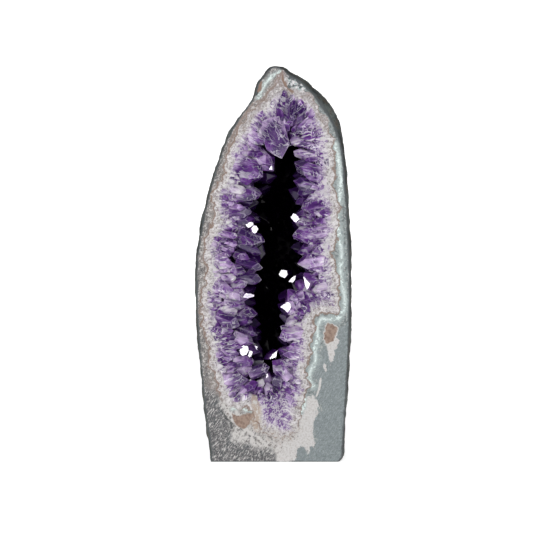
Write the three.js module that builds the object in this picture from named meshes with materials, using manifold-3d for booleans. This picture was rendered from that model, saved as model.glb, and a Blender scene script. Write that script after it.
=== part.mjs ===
// Amethyst cathedral geode, in millimetres, +Z up.
//
// A tall hollow volcanic pebble, sawn through lengthwise and stood on a sawn base. The rock is one solid:
// its back is the natural outside of the pebble, its front is the flat saw cut, and the cavity opens
// through that cut. Amethyst crystals grow from the cavity wall towards the middle, each its own solid.
//
// While it is built, Y = 0 is the plane of the saw cut and +Y runs back into the rock. The exported group
// moves everything so that the origin is at the bottom centre of the finished rock.
import * as THREE from "three";
import { mergeVertices } from "three/addons/utils/BufferGeometryUtils.js";
import Module from "manifold-3d";

const wasm = await Module();
wasm.setup();

// Driving dimensions.
const DEPTH = 120; // saw cut to the furthest point of the back
const GIRTH_AT = 15; // depth behind the cut at which the pebble is widest
const LUMPS = 0.018; // height of the lumps on the back, as a share of its half width
const CAVITY_DEPTH = 88;
const CAVITY_DRIFT = 9; // how far the cavity leans to +X over its depth
const BACK_FOCUS = new THREE.Vector3(0, 0, 130); // the outline shrinks towards this line as it goes back
const CAVITY_FOCUS = new THREE.Vector3(2, 0, 185);
const PEBBLE_STEPS = 84; // points round one ring of the pebble
const CAVITY_STEPS = 60;
const SEAT_GAP = 0.4; // between a crystal and the wall or crystal that it grows against
const FACE_GAP = 0.5; // crystals end this far behind the saw cut

// The pebble's widest outline, seen from the front, up the right side and down the left: x, z, and how far
// inside it the edge of the saw cut lies. It runs on below the base, which is sawn off at z = 0.
const GIRTH = [
  [50, -60, 2], [60.5, -2, 2], [63.8, 4, 2], [65, 14, 2], [66, 36, 2], [68.7, 75, 2], [70.6, 112, 2.5], [72, 155, 3],
  [71.4, 190, 3], [69.2, 232, 3], [68, 256, 3.5], [65.5, 286, 4], [61, 309, 7], [52, 327, 8],
  [40, 341, 7.5], [27, 352, 6], [16, 357, 5], [9, 361.6, 4], [-2, 361.6, 2], [-9, 353, 1.5],
  [-15.5, 345.5, 1.5], [-18.5, 334, 1.5], [-28, 320.5, 1.5], [-41.5, 299, 1.5], [-54.5, 265, 2],
  [-65.5, 222, 2], [-70.5, 190, 2], [-72, 165, 2], [-70.4, 122, 2], [-66.8, 78, 2], [-62, 34, 2],
  [-58.5, 10, 2], [-56, -60, 1.5],
];

// The cavity wall where it meets the saw cut, in the same order: x, z.
const WALL = [
  [12, 70], [20, 92], [22, 111], [25, 128], [34, 143], [41, 160], [40, 180], [41, 202], [41, 228],
  [39, 256], [36, 284], [29, 304], [16, 314], [2, 311], [-12, 299], [-24, 277], [-33, 251], [-41, 224],
  [-46, 190], [-48, 160], [-47, 130], [-43, 100], [-35, 76], [-22, 62], [-4, 60],
];

// Amethyst crystallises as a six-sided prism capped by rhombohedral faces.
const SIDES = 6;
const CAP_TILT = THREE.MathUtils.degToRad(51.8); // between a cap face's normal and the crystal's long axis
const CAP_SPREAD = 0.16; // how unequal the six cap faces are, as a share of the radius
const LEAST_LEFT = 0.4; // a crystal that its neighbours cut down to a smaller share than this isn't there

// The large crystals along the mouth of the cavity: name, tip x, depth, z, root x, depth, z, radius.
const MOUTH_CRYSTALS = [
  ["roof_crystal_1", 6, 12, 279, -5, 20, 318, 11],
  ["roof_crystal_2", 14, 14, 290, 30, 20, 308, 9],
  ["roof_crystal_3", 9, 24, 300, 12, 25, 322, 8],
  ["left_crystal_1", 0, 11, 267, -20, 21, 288, 9],
  ["left_crystal_2", -13, 12, 263, -38, 27, 272, 12],
  ["left_crystal_3", 3, 26, 262, -26, 39, 262, 7],
  ["left_crystal_4", -2, 33, 253, -34, 43, 248, 7],
  ["left_crystal_5", -25, 9, 247, -44, 21, 252, 8],
  ["left_crystal_6", -14, 28, 238, -42, 43, 234, 8],
  ["left_crystal_7", -14, 26, 224, -44, 41, 222, 8],
  ["left_crystal_8", -26, 12, 214, -48, 25, 216, 8],
  ["left_crystal_9", -9, 26, 201, -42, 39, 198, 9],
  ["left_crystal_10", -9, 34, 189, -42, 47, 186, 8],
  ["left_crystal_11", -14, 20, 177, -42, 33, 186, 8],
  ["left_crystal_12", -16, 28, 164, -46, 41, 162, 8],
  ["left_crystal_13", -20, 19, 152, -50, 32, 151, 8],
  ["left_crystal_14", -20, 30, 141, -48, 43, 136, 7],
  ["left_crystal_15", -13, 32, 130, -44, 45, 126, 8],
  ["left_crystal_16", -12, 28, 118, -42, 41, 115, 8],
  ["left_crystal_17", -13, 24, 104, -42, 37, 101, 8.5],
  ["left_crystal_18", -9, 24, 90, -34, 37, 78, 8],
  ["right_crystal_1", 20, 11, 274, 46, 19, 262, 10],
  ["right_crystal_2", 19, 14, 257, 46, 22, 250, 8],
  ["right_crystal_3", 15, 25, 249, 42, 31, 238, 8],
  ["right_crystal_4", 29, 9, 238, 50, 16, 243, 7],
  ["right_crystal_5", 20, 19, 226, 48, 26, 228, 7.5],
  ["right_crystal_6", 18, 12, 204, 48, 19, 212, 11],
  ["right_crystal_7", 16, 29, 196, 46, 35, 194, 7],
  ["right_crystal_8", 24, 12, 184, 50, 19, 179, 10],
  ["right_crystal_9", 26, 22, 170, 50, 28, 172, 7.5],
  ["right_crystal_10", 14, 11, 157, 33, 20, 126, 9],
  ["right_crystal_11", 27, 9, 157, 44, 17, 132, 8],
  ["right_crystal_12", 5, 24, 143, 34, 32, 133, 9],
  ["right_crystal_13", 7, 12, 123, 32, 20, 108, 10],
  ["right_crystal_14", 5, 26, 112, 30, 33, 106, 8],
  ["right_crystal_15", 5, 14, 102, 30, 22, 90, 7.5],
  ["floor_crystal_1", 7, 10, 84, 4, 19, 54, 9],
  ["floor_crystal_2", -6, 26, 84, -14, 37, 58, 8],
];

// The rows of crystals deeper in, which grow straight off the wall: depth, how many, radius, length.
const DEEP_ROWS = [
  { depth: 46, count: 9, radius: 8.5, length: 24 },
  { depth: 64, count: 7, radius: 9, length: 22 },
  { depth: 80, count: 5, radius: 9, length: 20 },
];
// The line along the middle of the cavity that the deep crystals lean towards.
const MIDDLE_LOW = new THREE.Vector3(-4, 0, 105);
const MIDDLE_HIGH = new THREE.Vector3(9, 0, 265);

// The same run of numbers from 0 to 1 every time.
let seed = 7;
function random() {
  seed = (seed * 16807) % 2147483647;
  return seed / 2147483647;
}
const spread = (amount) => (2 * random() - 1) * amount;

function closedCurve(points) {
  return new THREE.CatmullRomCurve3(points, true, "centripetal");
}

// A curve's points moved by each one's own distance towards the inside. The curve runs anticlockwise
// seen from the front.
function inset(points, distances) {
  return points.map((p, i) => {
    const before = points[(i + points.length - 1) % points.length];
    const after = points[(i + 1) % points.length];
    const along = after.clone().sub(before).normalize();
    const inwards = new THREE.Vector3(-along.z, 0, along.x);
    return p.clone().addScaledVector(inwards, distances[i]);
  });
}

// A closed surface through rings of points that run anticlockwise seen from the front, front ring first.
function loft(rings) {
  const around = rings[0].length;
  const centre = (ring) => ring.reduce((sum, p) => sum.add(p), new THREE.Vector3()).divideScalar(around);
  const points = [...rings.flat(), centre(rings[0]), centre(rings.at(-1))];
  const frontCentre = points.length - 2;
  const backCentre = points.length - 1;
  const lastRing = (rings.length - 1) * around;
  const faces = [];
  for (let i = 0; i < around; i++) {
    const next = (i + 1) % around;
    faces.push(frontCentre, i, next);
    faces.push(backCentre, lastRing + next, lastRing + i);
    for (let k = 0; k < lastRing; k += around) {
      faces.push(k + i, k + around + i, k + next);
      faces.push(k + next, k + around + i, k + around + next);
    }
  }
  return new THREE.BufferGeometry().setFromPoints(points).setIndex(faces);
}

function solid(geometry) {
  const bare = geometry.clone();
  bare.deleteAttribute("normal");
  bare.deleteAttribute("uv");
  const merged = mergeVertices(bare, 1e-4);
  return new wasm.Manifold(
    new wasm.Mesh({
      numProp: 3,
      vertProperties: merged.attributes.position.array,
      triVerts: new Uint32Array(merged.index.array),
    }),
  );
}

function boxSolid(low, high) {
  const size = new THREE.Vector3().subVectors(high, low);
  const box = new THREE.BoxGeometry(size.x, size.y, size.z);
  const middle = new THREE.Vector3().addVectors(low, high).multiplyScalar(0.5);
  return solid(box.translate(middle.x, middle.y, middle.z));
}

// The rock before its cavity is opened.
function pebble() {
  const girth = GIRTH.map(([x, z]) => new THREE.Vector3(x, 0, z));
  const widest = closedCurve(girth);
  const cutEdge = closedCurve(inset(girth, GIRTH.map(([, , rim]) => rim)));
  const depths = [0, 3, 8, GIRTH_AT, 30, 46, 62, 76, 88, 98, 106, 112, 116.5];
  const rings = depths.map((depth) => {
    const flare = Math.sqrt(Math.min(1, depth / GIRTH_AT));
    const back = Math.max(0, (depth - GIRTH_AT) / (DEPTH - GIRTH_AT));
    const size = Math.sqrt(1 - back ** 2.4);
    return Array.from({ length: PEBBLE_STEPS }, (_, i) => {
      const t = i / PEBBLE_STEPS;
      const p = cutEdge.getPoint(t).lerp(widest.getPoint(t), flare);
      const turn = t * Math.PI * 2;
      // shallow lumps on the natural outside, none at the saw cut
      const lump = LUMPS * back * (Math.sin(5 * turn + depth / 17) + Math.sin(8 * turn - depth / 11));
      const reach = p.clone().sub(BACK_FOCUS);
      p.copy(BACK_FOCUS).addScaledVector(reach, size * (1 + lump));
      return p.setY(depth + back * 2 * Math.sin(p.x / 14) * Math.cos(p.z / 31));
    });
  });
  const below = boxSolid(new THREE.Vector3(-200, -50, -300), new THREE.Vector3(200, 250, 0));
  return solid(loft(rings)).subtract(below);
}

// Where the wall's outline at one depth is, for a wall moved in by gap.
function wallRing(depth, gap) {
  const outline = WALL.map(([x, z]) => new THREE.Vector3(x, 0, z));
  const curve = closedCurve(inset(outline, outline.map(() => gap)));
  const share = Math.max(0, depth) / (CAVITY_DEPTH - gap);
  const size = Math.sqrt(Math.max(0, 1 - share ** 2.3));
  return Array.from({ length: CAVITY_STEPS }, (_, i) => {
    const p = curve.getPoint(i / CAVITY_STEPS).sub(CAVITY_FOCUS).multiplyScalar(size).add(CAVITY_FOCUS);
    p.x += CAVITY_DRIFT * share;
    return p.setY(depth);
  });
}

// The cavity as a solid that reaches out through the saw cut.
function cavity(gap) {
  const depths = [-6, 0, 12, 26, 40, 53, 64, 73, 80, 85];
  return solid(loft(depths.map((depth) => wallRing(depth, gap))));
}

// The planes of one crystal's faces, facing outwards: its prism sides, then the cap faces at its tip.
function facesOf({ tip, root, radius, flatness, turn, caps }) {
  const up = new THREE.Vector3(0, 1, 0);
  const lean = new THREE.Quaternion().setFromUnitVectors(up, tip.clone().sub(root).normalize());
  const twist = new THREE.Quaternion().setFromAxisAngle(up, turn);
  const place = new THREE.Matrix4().compose(tip, lean.multiply(twist), new THREE.Vector3(flatness, 1, 1));
  const apothem = radius * Math.cos(Math.PI / SIDES);
  const face = (angle, tilt, distance) => {
    const outwards = new THREE.Vector3().setFromSphericalCoords(1, tilt, angle);
    return new THREE.Plane(outwards, -distance).applyMatrix4(place);
  };
  const angles = caps.map((_, i) => (i * Math.PI * 2) / SIDES);
  return [
    ...angles.map((angle) => face(angle, Math.PI / 2, apothem)),
    ...angles.map((angle, i) => face(angle, CAP_TILT, caps[i] * radius)),
  ];
}

// The part of a solid that lies behind a face, and the part that lies clear in front of it.
const behind = (shape, face) => shape.trimByPlane(face.normal.clone().negate().toArray(), face.constant);
const clearOf = (shape, face) => shape.trimByPlane(face.normal.toArray(), SEAT_GAP - face.constant);

// A crystal that grows against an earlier one stops at whichever of its faces costs the crystal least.
function stoppedBy(shape, tip, earlierFaces) {
  const near = earlierFaces.map((face) => new THREE.Plane(face.normal, face.constant - SEAT_GAP));
  if (near.reduce(behind, shape).volume() === 0) return shape;
  const choices = earlierFaces.filter((face) => face.distanceToPoint(tip) > SEAT_GAP);
  const kept = choices.map((face) => clearOf(shape, face)).sort((p, q) => q.volume() - p.volume());
  return kept.length ? kept[0] : clearOf(shape, earlierFaces[0]);
}

// What makes each crystal different from the next.
function habit() {
  return {
    flatness: 0.9 + 0.2 * random(),
    turn: random() * Math.PI,
    caps: Array.from({ length: SIDES }, (_, i) => (i % 2 ? 0.04 : -0.02) + random() * CAP_SPREAD),
  };
}

function mouthCrystals() {
  return MOUTH_CRYSTALS.map(([name, tipX, tipDepth, tipZ, rootX, rootDepth, rootZ, radius]) => ({
    name,
    tip: new THREE.Vector3(tipX, tipDepth, tipZ),
    root: new THREE.Vector3(rootX, rootDepth, rootZ),
    radius,
    ...habit(),
  }));
}

function deepCrystals() {
  const middle = new THREE.Line3(MIDDLE_LOW, MIDDLE_HIGH);
  return DEEP_ROWS.flatMap(({ depth, count, radius, length }, row) => {
    const ring = wallRing(depth, 0);
    return Array.from({ length: count }, (_, i) => {
      const at = ((i + 0.5 * (row % 2)) / count + spread(0.02) + 1) % 1;
      const root = ring[Math.floor(at * ring.length)].clone();
      const target = middle.closestPointToPoint(root, true, new THREE.Vector3());
      target.y = depth - 26;
      target.z += spread(14);
      const tip = target.sub(root).setLength(length).add(root);
      return { name: `deep_crystal_${row + 1}${String.fromCharCode(97 + i)}`, tip, root, radius, ...habit() };
    });
  });
}

const finishes = {
  rock: new THREE.MeshStandardMaterial({ color: 0x6f7674, roughness: 0.85, metalness: 0 }),
  amethyst: new THREE.MeshStandardMaterial({ color: 0x5a3a86, roughness: 0.12, metalness: 0 }),
};

function meshOf(name, made, material) {
  const { vertProperties, triVerts } = made.getMesh();
  const geometry = new THREE.BufferGeometry();
  geometry.setAttribute("position", new THREE.BufferAttribute(vertProperties, 3));
  geometry.setIndex(new THREE.BufferAttribute(triVerts, 1));
  const mesh = new THREE.Mesh(geometry, material);
  mesh.name = name;
  return mesh;
}

const group = new THREE.Group();
const rock = pebble().subtract(cavity(0));
group.add(meshOf("rock_shell", rock, finishes.rock));

// Each crystal takes the room that the wall and the crystals before it leave.
const front = boxSolid(new THREE.Vector3(-200, FACE_GAP, 0), new THREE.Vector3(200, 200, 400));
const room = cavity(SEAT_GAP).intersect(front);
const grown = [];
for (const crystal of [...mouthCrystals(), ...deepCrystals()]) {
  const faces = facesOf(crystal);
  const whole = faces.reduce(behind, room);
  const stopped = grown.reduce((shape, earlier) => stoppedBy(shape, crystal.tip, earlier), whole);
  const [largest] = stopped.decompose().sort((p, q) => q.volume() - p.volume());
  if (largest && largest.volume() > LEAST_LEFT * whole.volume()) {
    grown.push(faces);
    group.add(meshOf(crystal.name, largest, finishes.amethyst));
  }
}

// The origin is at the middle of the finished rock's base.
const box = new THREE.Box3().setFromObject(group.children[0], true);
const middle = box.getCenter(new THREE.Vector3());
group.position.set(-middle.x, -middle.y, -box.min.z);

export default group;
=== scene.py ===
import math
import random
import bmesh
import bpy
import numpy as np
from functools import partial
from mathutils import Matrix, Vector, noise
from mathutils.bvhtree import BVHTree


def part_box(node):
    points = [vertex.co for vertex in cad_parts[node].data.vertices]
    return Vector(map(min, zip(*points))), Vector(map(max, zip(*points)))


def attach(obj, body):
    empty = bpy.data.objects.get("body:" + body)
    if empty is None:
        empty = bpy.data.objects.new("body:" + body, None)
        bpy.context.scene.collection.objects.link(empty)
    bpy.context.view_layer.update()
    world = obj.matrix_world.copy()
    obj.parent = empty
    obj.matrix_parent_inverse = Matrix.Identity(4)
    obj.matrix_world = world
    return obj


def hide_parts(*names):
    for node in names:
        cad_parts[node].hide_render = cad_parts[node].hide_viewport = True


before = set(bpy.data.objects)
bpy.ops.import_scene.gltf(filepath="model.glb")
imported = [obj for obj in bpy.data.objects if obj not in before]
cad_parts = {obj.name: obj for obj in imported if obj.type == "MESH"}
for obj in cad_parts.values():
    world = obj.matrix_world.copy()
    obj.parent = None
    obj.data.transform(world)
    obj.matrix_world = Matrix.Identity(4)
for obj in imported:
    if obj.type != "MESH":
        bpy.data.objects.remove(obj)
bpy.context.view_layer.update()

from types import SimpleNamespace

mm = 0.001
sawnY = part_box("rock_shell")[0].y   # the plane of the sawn front
nodeNames = sorted(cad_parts)
weld = 1e-5                # metres, corners nearer than this are one
ringUnits = (8.0, 16.0)    # mm along the agate line and inside it that the ring attribute counts as 1
seeds = {"places": 5, "druse": 11, "leading": 23}

studio = {
    # millimetres, except where it says otherwise
    "cameraDistance": 1349, "cameraX": -6.4, "cameraZ": 178.2, "lens": 100,
    "worldStrength": 0.13,
    "backdrop": 6,  # metres from the middle to the edge of the paper
    "aim": (0, 0, 180),  # where the soft boxes point
    # place, size, watts of each soft box
    "softBoxes": [
        ((-420, -1250, 620), 235, 4.7),
        ((520, -1150, 420), 150, 1.1),
        ((-60, -900, 1000), 225, 2.7)],
}


def linear(hexColour):
    # sRGB hex to the linear values that shaders use
    values = []
    for i in (1, 3, 5):
        c = int(hexColour[i:i + 2], 16) / 255
        values.append(c / 12.92 if c <= 0.04045 else ((c + 0.055) / 1.055) ** 2.4)
    return (*values, 1.0)


def colours(table):
    # a table's hex colours as linear values, by name
    return SimpleNamespace(**{name: linear(value) for name, value in table.items()})


def add(tree, kind, inputs, out=0, **settings):
    # one shader node with its settings, values and links; gives back the output asked for
    made = tree.nodes.new("ShaderNode" + kind)
    for name, value in settings.items():
        setattr(made, name, value)
    for socket, value in (inputs.items() if isinstance(inputs, dict) else enumerate(inputs)):
        if isinstance(value, bpy.types.NodeSocket):
            tree.links.new(value, made.inputs[socket])
        else:
            made.inputs[socket].default_value = value
    return made.outputs[out] if len(made.outputs) else None


def shareOf(tree, share):
    # a share is a socket, or a value, the low and high where it starts and is full, and what it runs between
    return add(tree, "MapRange", share) if isinstance(share, tuple) else share


def paint(tree, colour, layers):
    # lays each colour over the last, by its share
    for share, over in layers:
        colour = add(tree, "Mix", {0: shareOf(tree, share), 6: colour, 7: over}, out=2, data_type="RGBA")
    return colour


def within(tree, *shares):
    # only where every one of these holds
    total = shareOf(tree, shares[0])
    for share in shares[1:]:
        total = add(tree, "Math", [total, shareOf(tree, share)], operation="MULTIPLY")
    return total


def behindCut(tree, depth, near, far, low=0.0, high=1.0):
    # from low to high between two depths behind the cut, in mm
    return add(tree, "MapRange", [depth, sawnY + near * mm, sawnY + far * mm, low, high])


def newMaterial(name):
    material = bpy.data.materials.new(name)
    material.use_nodes = True
    material.node_tree.nodes.clear()
    return material, material.node_tree


def smoothLoop(points, steps=6, closed=True):
    # a soft curve through given points, as a numpy array of points
    p = np.array(points, float)
    count = len(p)
    curve = []
    for i in range(count if closed else count - 1):
        if closed:
            a, b, c, d = p[i - 1], p[i], p[(i + 1) % count], p[(i + 2) % count]
        else:
            a, b, c, d = p[max(i - 1, 0)], p[i], p[i + 1], p[min(i + 2, count - 1)]
        for s in range(steps):
            t = s / steps
            curve.append(0.5 * (2 * b + (c - a) * t + (2 * a - 5 * b + 4 * c - d) * t * t
                                + (3 * b - a - 3 * c + d) * t ** 3))
    if not closed:
        curve.append(p[-1])
    return np.array(curve)


def distanceTo(points, curve, closed=True):
    # how far each point is from a curve, and how far along the curve the nearest place is
    ends = np.roll(curve, -1, axis=0) if closed else curve[1:]
    starts = curve if closed else curve[:-1]
    spans = ends - starts
    lengths = np.linalg.norm(spans, axis=1)
    before = np.concatenate([[0], np.cumsum(lengths)[:-1]])
    best = np.full(len(points), 1e9)
    along = np.zeros(len(points))
    for start, span, length, so in zip(starts, spans, lengths, before):
        if length < 1e-9:
            continue
        t = np.clip(((points - start) @ span) / length ** 2, 0, 1)
        away = np.linalg.norm(points - start - t[:, None] * span, axis=1)
        closer = away < best
        best[closer] = away[closer]
        along[closer] = (so + t * length)[closer]
    return best, along


def insideOf(points, curve):
    # which points a closed curve holds
    x, z = points[:, 0], points[:, 1]
    held = np.zeros(len(points), bool)
    for a, b in zip(curve, np.roll(curve, -1, axis=0)):
        if a[1] == b[1]:
            continue
        crosses = (a[1] > z) != (b[1] > z)
        held ^= crosses & (x < (b[0] - a[0]) * (z - a[1]) / (b[1] - a[1]) + a[0])
    return held


def depthInside(points, curve):
    # distance to a closed curve, above zero inside it
    away, along = distanceTo(points, curve)
    return np.where(insideOf(points, curve), away, -away), along


def setAttribute(mesh, name, values):
    mesh.attributes.new(name, "FLOAT", "POINT")
    mesh.attributes[name].data.foreach_set("value", np.asarray(values, np.float32))


def setRing(mesh):
    # where each point lies along the agate line and inside it, for patterns that point inwards
    co = np.empty(3 * len(mesh.vertices), np.float32)
    mesh.vertices.foreach_get("co", co)
    inside, along = depthInside(co.reshape(-1, 3)[:, [0, 2]] / mm, smoothLoop(drawing["agateLine"]))
    ring = np.stack([along / ringUnits[0], inside / ringUnits[1], 0 * along], axis=1).astype(np.float32)
    mesh.attributes.new("ring", "FLOAT_VECTOR", "POINT")
    mesh.attributes["ring"].data.foreach_set("vector", ring.ravel())


def meshOf(bm, name):
    # a mesh with this shape; the bmesh is freed
    mesh = bpy.data.meshes.new(name)
    bm.to_mesh(mesh)
    bm.free()
    return mesh


def solidOf(nodeName):
    # a CAD solid as a bmesh, its faces joined at the corners
    bm = bmesh.new()
    bm.from_mesh(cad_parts[nodeName].data)
    bmesh.ops.remove_doubles(bm, verts=bm.verts, dist=weld)
    return bm


def addObject(name, mesh, material):
    obj = bpy.data.objects.new(name, mesh)
    bpy.context.collection.objects.link(obj)
    mesh.materials.clear()
    mesh.materials.append(material)
    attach(obj, "root")
    return obj


# the pattern on the sawn front, in millimetres: x from the middle, z from the base
drawing = {
    # the fine brown line that ends the agate band, once round the quartz
    "agateLine": [
        (8, 353), (-2, 336), (-9, 327), (-17, 321), (-24, 312), (-30, 304), (-35, 293), (-41, 280),
        (-43, 266), (-46, 257), (-53, 247), (-54, 232), (-53, 221), (-60, 202), (-62, 193), (-60, 180),
        (-60, 166), (-64, 157), (-65, 148), (-63, 134), (-63, 120), (-59, 113), (-57, 102), (-56, 88),
        (-51, 75), (-49, 66), (-44, 57), (-36, 50), (-22, 50), (-14, 34), (-4, 26), (10, 23), (20, 28),
        (23, 44), (26, 57), (30, 66), (31, 75), (28, 84), (32, 98), (34, 111), (35, 128), (38, 135),
        (44, 138), (51, 137), (57, 134), (59, 148), (58, 162), (55, 178), (53, 187), (54, 196), (57, 206),
        (57, 220), (59, 235), (54, 244), (53, 256), (55, 270), (53, 285), (50, 300), (46, 312), (38, 326),
        (28, 338), (19, 345)],
    # bare sawn basalt, lower right
    "basalt": [
        (80, 118), (62, 124), (56, 114), (52, 96), (46, 104), (41, 92), (38, 78), (42, 68), (38, 60),
        (42, 54), (44, 47), (38, 38), (37, 28), (39, 20), (37, 12), (34, 14), (31, 4), (28, 12),
        (24, 12), (20, -10), (80, -10)],
    # pinkish beige celadonite clay, bottom middle
    "clay": [
        (29, 58), (38, 59), (42, 50), (38, 40), (36, 30), (39, 21), (36, 12), (33, 6), (28, 14), (22, 8),
        (24, -6), (1, -6), (4, 8), (12, 18), (22, 24), (24, 42)],
    # dark speckled basalt, lower left
    "darkBasalt": [
        (-80, 66), (-56, 66), (-50, 54), (-44, 42), (-37, 31), (-40, 22), (-30, 17), (-16, 13),
        (-4, 11), (4, 4), (4, -10), (-80, -10)],
    "brownWedge": [(50, 127), (58, 122), (55, 113), (49, 108), (46, 115), (47, 121)],
    "pinkWedge": [(56, 114), (60, 109), (55, 99), (52, 88), (50, 103), (49, 110)],
    "clayIslet": [(46, 91), (49, 88), (48, 83), (45, 86)],
    # small druse in the agate at the top, and the broken edge left of it
    "apexGeode": [(12, 350), (19, 351), (27, 346), (30, 341), (24, 338), (17, 341), (13, 345)],
    "notch": [(-19, 337), (-15, 345), (-12, 343), (-15, 334)],
    "notchBrown": [(-14, 346), (-10, 347), (-11, 339), (-15, 337)],
    # colourless quartz at the top
    "apexQuartz": [
        (-29, 304), (-20, 315), (-11, 323), (-1, 332), (11, 334), (25, 331), (34, 324), (40, 312),
        (50, 302), (56, 330), (20, 362), (-24, 345)],
    "rubble": [(-16, 34), (-8, 24), (6, 18), (20, 22), (23, 32), (12, 27), (2, 28), (-6, 34), (-12, 44)],
    "brownHeart": [(-38, 44), (-32, 42), (-26, 44.5), (-18, 44), (-20, 37), (-28, 30.5), (-35, 35)],
    "lowerBand": [
        (-60, 48), (-44, 58), (-30, 46), (-14, 30), (4, 22), (22, 30), (30, 46), (35, 26), (24, 8), (4, 0),
        (-30, 8), (-56, 20)],
    "stain": [
        (-22, 78), (-17, 82), (-12, 82), (-13, 75), (-16, 70), (-15, 60), (-12, 50), (-12, 40),
        (-14, 28), (-20, 34), (-19, 44), (-20, 52), (-20, 60), (-19, 68)],
    "topBasalt": [
        (14, 358), (24, 350), (33, 342), (41, 331), (49, 316), (57, 302), (64, 284), (80, 300), (60, 340),
        (20, 370)],
}
lines = {
    # the mint chalcedony band, its middle: down the right side and round the bay in the basalt
    "mintBand": [
        (56, 290), (60, 270), (61, 245), (58, 225), (60, 205), (62, 190), (61, 175), (63, 160), (65, 148),
        (64, 138), (58, 131), (50, 130), (43, 130), (40, 122), (40, 112), (38, 102), (38, 92), (34, 84),
        (33, 76), (36, 68)],
    "mintCap": [(-14, 332), (-9, 342), (-2, 351), (6, 356)],
    "mintShelf": [(-38, 48), (-31, 50), (-25, 47), (-18, 49)],
    "mintSliver": [(29, 58), (27, 50), (24, 43)],
    "innerBrown": [(8, 356), (9, 347), (13, 341), (18, 337)],
    "outerBrown": [(7, 354), (3, 345), (-4, 338), (-10, 331), (-19, 326), (-28, 314), (-35, 302),
        (-41, 288)],
    "clayVein": [(43, 76), (42, 68), (39, 60)],
    "crack": [(-47, 46), (-43, 40), (-39, 36), (-38, 31)],
}


stoneLook = {
    "basalt": "#858d8f", "basaltPale": "#a2aaab", "basaltDark": "#6b7274", "greenGrey": "#8f9797",
    "rind": "#5d6163", "rindDark": "#3c3f41", "darkStone": "#6b6b6c",
    "band": "#86827f", "bandPale": "#cbc8c6", "bandDark": "#58575a", "bandBrown": "#8b7b75",
    "brown": "#887368", "mint": "#a8b3b3", "mintPale": "#dde8e6",
    "quartz": "#b2aeae", "quartzGrey": "#8b8384", "quartzWhite": "#d8d4d6",
    "lilac": "#a08db0", "purple": "#705089", "deep": "#3b2853",
    "clay": "#cecccb", "clayDark": "#b8b3b0", "brownClay": "#a08c80", "stain": "#b3a295",
    # wall is near black: the painted shade of the cavity wall deep behind the cut
    "veil": "#dcd9da", "wall": "#050208",
    "backDark": "#3f4444", "backPale": "#747c79", "iron": "#6d5848",
}


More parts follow.
